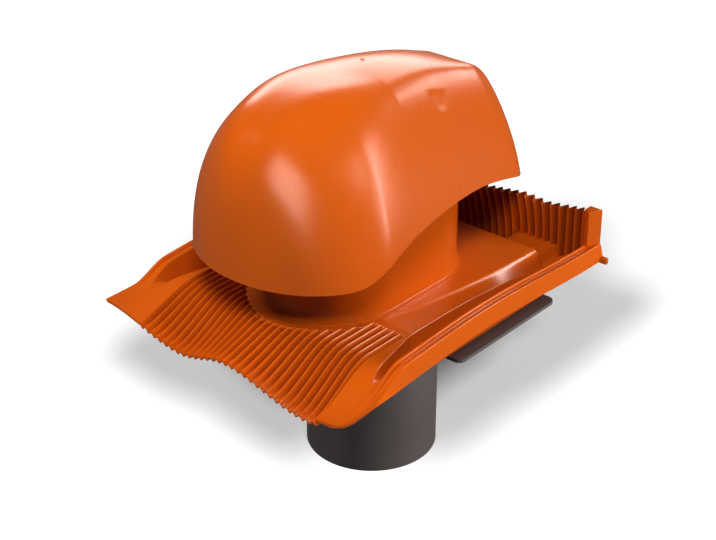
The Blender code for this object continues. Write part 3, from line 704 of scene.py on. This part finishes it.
def section_corners(y):
    """Corners of the plate's upper and under side at y, right half, from the outer foot inwards."""
    share = (y - PLATE["front"]) / (PLATE["back"] - PLATE["front"])
    arch = WALL["arch"] * math.sin(math.pi * share) ** 2
    top = arch + WALL["height"] * ramp(PLATE["front"], WALL["full_at"], y)
    groove = top - GROOVE["depth"]
    half, sheet = PLATE["half_width"], PLATE["sheet"]
    edge, ridge = half - WALL["lean"], half - RIDGE["inset"]
    ridge_foot = ridge - RIDGE["land"] - RIDGE["slope"]
    side = straight_through(((CHANNEL["from"], CHANNEL["tip"]), (CHANNEL["wide_at"], DECK["side"])), y)
    side_height = straight_through(DECK_EDGE_LINE, y)
    channel = mix(side_height, CHANNEL["floor"], ramp(CHANNEL["from"], CHANNEL["full_at"], y))
    step = straight_through(STEP_LINE, y)
    low_step = DECK["height"] - STEP["depth"] * ramp(STEP["from"], STEP["full_at"], y)

    # Past the deck's back edge everything falls into the gutter
    fall = ramp(DECK["back"] - DECK["back_round"], DECK["back"], y)
    floor = mix(DECK["height"], GUTTER["floor"], fall)
    shelf = mix(DECK["height"], GUTTER["shelf"], fall)
    side_height, low_step = mix(side_height, channel, fall), mix(low_step, channel, fall)
    inner, outer = GUTTER["half_width"], GUTTER["half_width"] + GUTTER["end_slope"]
    upper = ((half, arch), (edge, top), (edge - WALL["land"], top),
             (edge - WALL["land"] - GROOVE["slope"], groove), (ridge + RIDGE["edge"], groove), (ridge, top),
             (ridge - RIDGE["land"], top), (ridge_foot, channel + MM), (side + CHANNEL["slope"], channel),
             (side, side_height), (step + STEP["width"], low_step), (step, shelf), (outer, shelf),
             (inner, floor), (0.0, floor))
    under = ((half - sheet, arch), (edge - sheet, groove - sheet), (ridge, groove - sheet),
             (ridge_foot + sheet, channel - sheet), (side + sheet, channel - sheet),
             (side - sheet, side_height - sheet), (step + STEP["width"] - sheet, low_step - sheet),
             (step - sheet, shelf - sheet), (outer + sheet, shelf - sheet), (inner + sheet, floor - sheet),
             (0.0, floor - sheet))
    return upper, under


def rolled(x, z, y, drop=0.0):
    """The section's height, blended into the double roll of the front edge."""
    roll = curve_through(TILE_CORNER, x) if x > TILE_CORNER[0][0] else level_through(TILE_ROLLS, x)
    return mix(roll - drop, z, ramp(PLATE["front"], DECK["full_at"], y))


def plate_height(x, y):
    return rolled(x, straight_through(sorted(section_corners(y)[0]), abs(x)), y)


print("plate is %.1f mm high at its front corner" % (plate_height(0.170, -0.150) / MM))

# %% [markdown]
# ## The plate's sheet
#
# A moulded sheet has small rounds at all its folds, and they catch the light as thin bright lines. A Bevel
# modifier could make them, but here each corner of the section is rounded as it is drawn, so every row keeps
# the same number of points. The rows join into one closed solid, and two cuts free the neck and the apron.

# %% Rounded sections
APRON = {"half_width": 0.1275, "back": -0.085, "lap": 0.003, "sink": 0.00045, "sheet": 0.0021}
FOLD_ROUND = {"radius": 0.0018, "count": 3}
MIDDLE_COLUMNS = 12
PLATE_ROWS = {"apron": 60, "deck": 80, "edge": 8, "gutter": 14}
CUT = {"reach": 0.1, "sheet": 0.004, "apron": 0.0045}


def round_corners(points, radius, count, limit=0.45):
    """Replaces each inner corner of a line of (x, z) points by a short curve."""
    out = [points[0]]
    for before, here, after in zip(points, points[1:], points[2:]):
        to_before, to_after = Vector(before) - Vector(here), Vector(after) - Vector(here)
        reach = min(radius, to_before.length * limit, to_after.length * limit)
        start = Vector(here) + to_before.normalized() * reach
        end = Vector(here) + to_after.normalized() * reach
        for i in range(count + 1):
            t = i / count
            out.append(tuple(start * (1 - t) ** 2 + Vector(here) * 2 * t * (1 - t) + end * t * t))
    out.append(points[-1])
    return out


def neck_distance(x, y):
    """Distance from the neck's upright wall, seen from above."""
    along = max(y - NECK["back_centre"], NECK["front_centre"] - y, 0.0)
    return math.hypot(x, along) - NECK["half_width"]


def oval(offset, z, front=0.0, count=72):
    """The neck's outline, moved outwards by the offset and further at its front end."""
    points = []
    for start, centre, more in ((0.0, NECK["back_centre"], 0.0), (math.pi, NECK["front_centre"], front)):
        for i in range(count + 1):
            angle = start + math.pi * i / count
            radius = NECK["half_width"] + offset + more * math.sin(angle) ** 2
            points.append(Vector((radius * math.cos(angle), centre + radius * math.sin(angle), z)))
    return points


print("neck clears the deck's side by %.1f mm" % ((DECK["side"] - NECK["half_width"]) / MM))

# %% Cutting
def carve(piece, cutters):
    """Cuts closed meshes, drawn around the axis, out of a piece and keeps only the result."""
    for bm in cutters:
        bmesh.ops.translate(bm, vec=AXIS, verts=bm.verts)
        bmesh.ops.recalc_face_normals(bm, faces=bm.faces)
        mesh = bpy.data.meshes.new("cutter")
        bm.to_mesh(mesh)
        bm.free()
        cutter = bpy.data.objects.new("cutter", mesh)
        bpy.context.scene.collection.objects.link(cutter)
        mod = piece.modifiers.new("cut", "BOOLEAN")
        mod.operation = "DIFFERENCE"
        mod.solver = "EXACT"
        mod.object = cutter
        bpy.context.view_layer.update()
        result = bpy.data.meshes.new_from_object(piece.evaluated_get(bpy.context.evaluated_depsgraph_get()))
        piece.modifiers.clear()
        old, piece.data = piece.data, result
        bpy.data.meshes.remove(old)
        bpy.data.objects.remove(cutter, do_unlink=True)


def prism(outline, height):
    """A closed mesh over a flat outline, extruded upwards."""
    bm = bmesh.new()
    low = [bm.verts.new(p) for p in outline]
    high = [bm.verts.new(Vector(p) + Vector((0, 0, height))) for p in outline]
    grid_faces(bm, [low, high], closed=True)
    bm.faces.new(low)
    bm.faces.new(high)
    return bm


print("cutting tools ready")

# %% Build the sheet
def sheet_ring(y, lag):
    """Closed section at y. The under side lies in front of it by the lag, where the sheet stands upright."""
    upper, under = section_corners(y)
    ring = []
    for points, drop, shift in ((upper, 0.0, 0.0), (under, PLATE["sheet"], lag)):
        half = round_corners(points, **FOLD_ROUND)
        half = half[:-1] + [(x, half[-1][1]) for x in steps(half[-2][0], 0.0, MIDDLE_COLUMNS)[1:]]
        run = [(-x, z) for x, z in half[:-1]] + [(x, z) for x, z in reversed(half)]
        run = [Vector((x, y - shift, rolled(x, z, y, drop))) for x, z in run]
        ring += run if shift == drop == 0.0 else list(reversed(run))
    return ring


def build_plate():
    sheet, fall_from = PLATE["sheet"], DECK["back"] - DECK["back_round"]
    places = [(y, 0.0) for y in steps(PLATE["front"], APRON["back"], PLATE_ROWS["apron"])]
    for y in steps(APRON["back"], fall_from, PLATE_ROWS["deck"])[1:]:
        places.append((y, sheet * ramp(APRON["back"], fall_from, y)))
    places += [(y, sheet) for y in steps(fall_from, DECK["back"], PLATE_ROWS["edge"])[1:]]
    end = PLATE["back"] - sheet / 2
    for y in steps(DECK["back"], end, PLATE_ROWS["gutter"])[1:]:
        places.append((y, sheet * (1.0 - ramp(DECK["back"], end, y))))
    bm = bmesh.new()
    rings = [[bm.verts.new(p) for p in sheet_ring(y, lag)] for y, lag in places]
    grid_faces(bm, rings, closed=True)
    bm.faces.new(rings[0])
    bm.faces.new(rings[-1])
    piece = make_piece("flashing_sheet", bm, terracotta, "flashing_plate", sharp=60.0)
    edge = APRON["half_width"] - APRON["lap"]
    front, back = PLATE["front"] - CUT["reach"], APRON["back"] - APRON["lap"]
    field = [(x, y, -CUT["reach"]) for x, y in ((-edge, front), (edge, front), (edge, back), (-edge, back))]
    carve(piece, [prism(field, 2 * CUT["reach"]), prism(oval(CUT["sheet"], -CUT["reach"]), 2 * CUT["reach"])])
    return piece


plate = build_plate()
print("plate has", len(plate.data.polygons), "faces")

# %% [markdown]
# ## The pleated apron
#
# In front of the neck the sheet is folded like a bellows, so that it can be pressed onto the roll of the
# tiles. The pleats run with the slope and stop short with blunt ends, round the front of the neck's foot and
# on a straight line beside it. A displacement would smear the sharp ridges, so the folds are drawn into the
# grid, with ten columns each. A second grid a little lower is the under side.

# %% Build the apron
PLEAT = {"count": 29, "height": 0.0078, "front_overhang": 0.0005, "end_at": -0.094, "blunt": 0.004,
         "clear": 0.009, "nose_clear": 0.012, "border": 0.003, "edge_share": 0.5, "edge_reach": 0.025}
FOLD_COLUMNS = 10
APRON_ROWS = 96
# How strong the painted shade in the folds is.
FOLD_SHADE_STRENGTH = 0.85


def fold(turns):
    """A zigzag of height 1 from ridge to ridge, with slightly rounded edges."""
    sharpness = 0.975
    return math.asin(sharpness * math.cos(2 * math.pi * turns)) / math.asin(sharpness) / 2


def apron_fold(x):
    return fold(x / APRON["half_width"] * PLEAT["count"] / 2 + 0.25)


def pleat_share(x, y):
    """How far the pleats stand up at a place, from 0 to 1. They are flatter along the cut front edge."""
    blunt_end = ramp(0.0, PLEAT["blunt"], PLEAT["end_at"] - y)
    nose = max(0.0, NECK["front_centre"] - y) / math.hypot(x, NECK["front_centre"] - y)
    clear = PLEAT["clear"] + PLEAT["nose_clear"] * nose ** 2
    round_neck = ramp(clear, clear + PLEAT["blunt"], neck_distance(x, y))
    plain_border = ramp(0.0, PLEAT["border"], APRON["half_width"] - abs(x))
    lift = mix(PLEAT["edge_share"], 1.0, smooth_step((y - PLATE["front"]) / PLEAT["edge_reach"]))
    return blunt_end * round_neck * plain_border * lift


def paint_fold_shade(piece, depths, power):
    """Stores painted shade at each point, by how deep it lies in a fold. A low power leaves only the thin
    ridges unshaded.
    """
    layer = piece.data.attributes.new("painted_fold_shade", "FLOAT", "POINT")
    layer.data.foreach_set("value", [max(0.0, min(1.0, depth)) ** power * FOLD_SHADE_STRENGTH for depth in depths])


def apron_rows(drop):
    rows = []
    for y in steps(PLATE["front"] - PLEAT["front_overhang"], APRON["back"], APRON_ROWS):
        row = []
        for share in steps(-1.0, 1.0, PLEAT["count"] * FOLD_COLUMNS):
            x = share * APRON["half_width"]
            pleat = PLEAT["height"] * pleat_share(x, y) * apron_fold(x)
            row.append(Vector((x, y, plate_height(x, y) + pleat - APRON["sink"] - drop)))
        rows.append(row)
    return rows


def closed_sheet(face_side, back_side):
    """A closed solid between two grids of equal size."""
    bm = bmesh.new()
    grids = [[[bm.verts.new(p) for p in row] for row in side] for side in (face_side, back_side)]
    for rows in grids:
        grid_faces(bm, rows)
    rims = []
    for rows in grids:
        there, back = [row[-1] for row in rows[1:]], [row[0] for row in rows[-2:0:-1]]
        rims.append(rows[0] + there + rows[-1][-2::-1] + back)
    grid_faces(bm, rims, closed=True)
    return bm


def build_apron():
    bm = closed_sheet(apron_rows(0.0), apron_rows(APRON["sheet"]))
    piece = make_piece("apron_pleats", bm, terracotta, "flashing_plate", sharp=75.0)
    carve(piece, [prism(oval(CUT["apron"], -CUT["reach"]), 2 * CUT["reach"])])
    places = [vertex.co - AXIS for vertex in piece.data.vertices]
    # Painted shade in the pleats' valleys.
    paint_fold_shade(piece, [pleat_share(p.x, p.y) * (0.5 - apron_fold(p.x)) for p in places], 1.9)
    return piece


apron = build_apron()
print("apron has", len(apron.data.polygons), "faces")

# %% [markdown]
# ## The oval neck
#
# The neck stands on the deck and carries the hood on its upper edge. Its foot meets the deck in a small
# hollow curve that ends in a thin step, the line where the two halves of the mould met. The wall is one
# closed loft through oval rings.

# %% Build the neck
FOOT_STEP = ((0.0, 0.0008), (0.0003, 0.0012), (0.0012, 0.0013), (0.0015, 0.0018))
FOOT_CURVE = {"rings": 14, "inset": 0.0016, "from": 0.0018, "power": 1.3}
NECK_SINK = 0.005
NECK_ROUND = 0.0006


def build_neck():
    deck = DECK["height"]
    foot = deck - NECK_SINK
    reach, front, rise = NECK["foot_reach"], NECK["front_reach"], NECK["foot_height"]
    rings = [oval(reach, foot, front)]
    for inset, height in FOOT_STEP:
        rings.append(oval(reach - inset, deck + height, front))
    for i in range(1, FOOT_CURVE["rings"] + 1):
        angle = math.radians(90) * i / FOOT_CURVE["rings"]
        flare = (1.0 - math.sin(angle)) ** FOOT_CURVE["power"]
        height = deck + FOOT_CURVE["from"] + rise * (1.0 - math.cos(angle))
        rings.append(oval((reach - FOOT_CURVE["inset"]) * flare, height, front * flare))
    top, wall, edge = NECK["top"], NECK["wall"], NECK_ROUND
    rings += [oval(0.0, top - edge), oval(-edge, top), oval(-wall + edge, top), oval(-wall, top - edge),
              oval(-wall, foot)]
    bm = bmesh.new()
    rows = [[bm.verts.new(p) for p in ring] for ring in rings]
    grid_faces(bm, rows + rows[:1], closed=True)
    return make_piece("neck_collar", bm, terracotta, "flashing_plate", sharp=40.0)


neck = build_neck()
print("neck has", len(neck.data.polygons), "faces")

# %% [markdown]
# ## The upstand at the back
#
# At the upper edge a second row of pleats stands up, so that the next tile presses it tight. These folds
# lean over sideways as they rise and follow the gutter with their feet. A plain tab closes the row at each
# end, and a small lug beside the right one hooks under the next tile.

# %% Build the upstand
UPSTAND = {"pleats": 31, "depth": 0.012, "lean": 0.012, "lean_reach": 0.130, "sink": 0.0015, "sheet": 0.0026,
           "rows": 20}
UPSTAND_TOP_LINE = ((0.0, 0.038), (0.045, 0.045), (0.077, 0.050), (0.105, 0.048), (0.146, 0.055),
                    (0.178, 0.057))
TAB = {"width": 0.022, "foot": 0.003, "top": 0.060, "lap": 0.002, "fold": 0.004, "fold_inset": 0.014,
       "side_inset": 0.006, "back_inset": 0.001, "soft": 0.0006}
LUG = {"reach": 0.007, "y": 0.188, "z": 0.001, "depth": 0.005, "height": 0.007, "lap": 0.001}


def upstand_shares():
    return steps(-1.0, 1.0, UPSTAND["pleats"] * FOLD_COLUMNS)


def upstand_rows(half, y_shift):
    reach = half / (2 * UPSTAND["pleats"])
    middle = PLATE["back"] - UPSTAND["depth"] / 2
    depth = UPSTAND["depth"] - UPSTAND["sheet"]
    rows = []
    for level in steps(0.0, 1.0, UPSTAND["rows"]):
        row = []
        for share in upstand_shares():
            x = share * half
            lean = UPSTAND["lean"] * level * level * max(0.0, 1.0 - (abs(x) / UPSTAND["lean_reach"]) ** 2)
            foot = min(plate_height(x + s, middle) for s in (-reach, 0.0, reach)) - UPSTAND["sink"]
            y = middle - depth * fold(share * UPSTAND["pleats"] / 2) + y_shift
            row.append(Vector((x - lean, y, mix(foot, straight_through(UPSTAND_TOP_LINE, abs(x)), level))))
        rows.append(row)
    return rows


def build_upstand():
    half = PLATE["half_width"] - TAB["width"] + TAB["lap"]
    sheet = UPSTAND["sheet"]
    bm = closed_sheet(upstand_rows(half, -sheet / 2), upstand_rows(half, sheet / 2))
    piece = make_piece("back_upstand", bm, terracotta, "flashing_plate", sharp=75.0)
    # Painted shade in the folds, the same on both faces of the sheet.
    row = [0.5 - fold(share * UPSTAND["pleats"] / 2) for share in upstand_shares()]
    paint_fold_shade(piece, row * (len(piece.data.vertices) // len(row)), 0.6)
    return piece


upstand = build_upstand()
print("upstand has", len(upstand.data.polygons), "faces")

# %% Build the tabs
def build_tabs():
    bm = bmesh.new()
    half = PLATE["half_width"]
    inner = half - TAB["width"]
    front, back = PLATE["back"] - UPSTAND["depth"], PLATE["back"] - TAB["back_inset"]
    for sign in (1, -1):
        outline = ((inner, front), (half - TAB["fold_inset"], front - TAB["fold"]),
                   (half - TAB["side_inset"], back), (inner, back))
        low = [bm.verts.new((sign * x, y, TAB["foot"])) for x, y in outline]
        high = [bm.verts.new((sign * x, y, TAB["top"])) for x, y in outline]
        grid_faces(bm, [low, high], closed=True)
        bm.faces.new(low)
        bm.faces.new(high)
    place = Matrix.Translation((half + LUG["reach"] / 2 - LUG["lap"], LUG["y"], LUG["z"]))
    size = Matrix.Diagonal((LUG["reach"] + 2 * LUG["lap"], LUG["depth"], LUG["height"], 1.0))
    bmesh.ops.create_cube(bm, matrix=place @ size)
    piece = make_piece("upstand_tabs", bm, terracotta, "flashing_plate", sharp=40.0)
    soften(piece, TAB["soft"])
    return piece


tabs = build_tabs()
print("tabs span", [round(v * 1000) for v in tabs.dimensions], "mm")

# %% [markdown]
# ## The duct pipe
#
# The pipe is a plain tube of a common duct size with a bead that it hangs by. A turned profile around the
# axis gives it, and the cut ends get a small round, since a saw cut is always cleaned with a scraper.

# %% Build the pipe
PIPE = {"radius": 0.075, "wall": 0.003, "foot": -0.2155, "top": 0.128, "edge": 0.0005, "facets": 160}
BEAD = {"reach": 0.005, "top": -0.0015, "full_at": -0.004, "foot": -0.008}


def build_pipe():
    outer, inner = PIPE["radius"], PIPE["radius"] - PIPE["wall"]
    foot, top, edge, bead = PIPE["foot"], PIPE["top"], PIPE["edge"], outer + BEAD["reach"]
    profile = [(inner, top - edge), (inner + edge, top), (outer - edge, top), (outer, top - edge),
               (outer, BEAD["top"]), (bead, BEAD["full_at"]), (bead, BEAD["foot"]), (outer, BEAD["foot"]),
               (outer, foot + edge), (outer - edge, foot), (inner + edge, foot), (inner, foot + edge)]
    bm = bmesh.new()
    rows = []
    for i in range(PIPE["facets"]):
        angle = 2 * math.pi * i / PIPE["facets"]
        rows.append([bm.verts.new((r * math.cos(angle), r * math.sin(angle), z)) for r, z in profile])
    grid_faces(bm, rows + rows[:1], closed=True)
    return make_piece("duct_pipe", bm, black, "vent_pipe", sharp=35.0)


pipe = build_pipe()
print("pipe has", len(pipe.data.polygons), "faces")

# %% [markdown]
# ## The black frame
#
# Below the plate a black frame carries the pipe. Only its right rail shows in the picture. Its solids already
# have the right form, so the node stays and only gets the better material.

# %% Finish of the frame
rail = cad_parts["support_frame"]
for material_slot in rail.material_slots:
    material_slot.material = black
print("frame keeps", len(rail.data.polygons), "faces")

# %% [markdown]
# ## Which lamps shine on each piece
#
# A photographer puts black flags beside a lamp to keep its light off one part of the set. Light linking does
# the same here: the glow lamps shine on the hood only, so the plate keeps its deep colour. One raking lamp
# draws the plate's edges and ridges. The paper has its own two lamps, so it stays white, and so have the
# black pipe and frame, so that they show their round form.

# %% Flags for the lamps
def shine_on(lamp, pieces):
    group = bpy.data.collections.new("lit by " + lamp.name)
    for piece in pieces:
        group.objects.link(piece)
    lamp.light_linking.receiver_collection = group


for lamp in room_lamps:
    shine_on(lamp, [hood, gate, fins, neck, plate, apron, upstand, tabs, pipe, rail])
for lamp in glow_lamps:
    shine_on(lamp, [hood, gate])
for lamp in paper_lamps:
    shine_on(lamp, [floor])
shine_on(edge_lamp, [plate, apron, upstand, tabs, neck])
shine_on(plate_lamp, [plate, apron])
for lamp in pipe_lamps:
    shine_on(lamp, [pipe, rail])
print("flags set for", len(bpy.data.lights), "lamps")
